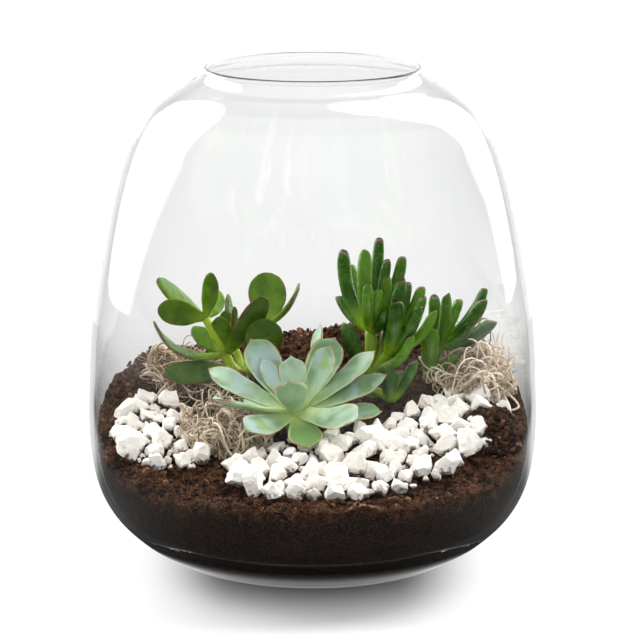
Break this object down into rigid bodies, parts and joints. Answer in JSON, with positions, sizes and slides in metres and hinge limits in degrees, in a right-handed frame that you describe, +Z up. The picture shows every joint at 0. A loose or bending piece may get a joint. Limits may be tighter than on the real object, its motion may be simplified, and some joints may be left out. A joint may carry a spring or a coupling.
{
  "type": "plant terrarium",
  "caption": "Open glass jar terrarium, widest below the middle with a short neck, holding banked soil, white gravel, dry moss, a rosette succulent, a jade plant and finger jade",
  "frame": {"origin": "middle of the jar's flat foot, on the surface it stands on", "axes": "+Z up along the jar's axis; -Y towards the front, where the gravel shows; +X to the right"},
  "size_m": [0.2504, 0.2504, 0.278],
  "materials": {
    "clear_glass": "clear blown glass, faintly green where it is thick",
    "peat_soil": "dark brown crumbly peat soil, matt",
    "white_marble": "broken white marble, matt",
    "dry_moss": "dry curled grey-beige strands",
    "jade_leaf": "glossy mid-green fleshy leaves",
    "rosette_leaf": "waxy blue-green leaves with a matt bloom",
    "finger_leaf": "glossy dark-green tubular leaves"
  },
  "bodies": {
    "root": {"glass_jar": "clear_glass", "soil": "peat_soil", "gravel_front": "white_marble", "gravel_left": "white_marble", "moss_left": "dry_moss", "moss_front": "dry_moss", "moss_right": "dry_moss", "jade_plant": "jade_leaf", "rosette_plant": "rosette_leaf", "finger_plant_left": "finger_leaf", "finger_plant_right": "finger_leaf"}
  },
  "joints": []
}
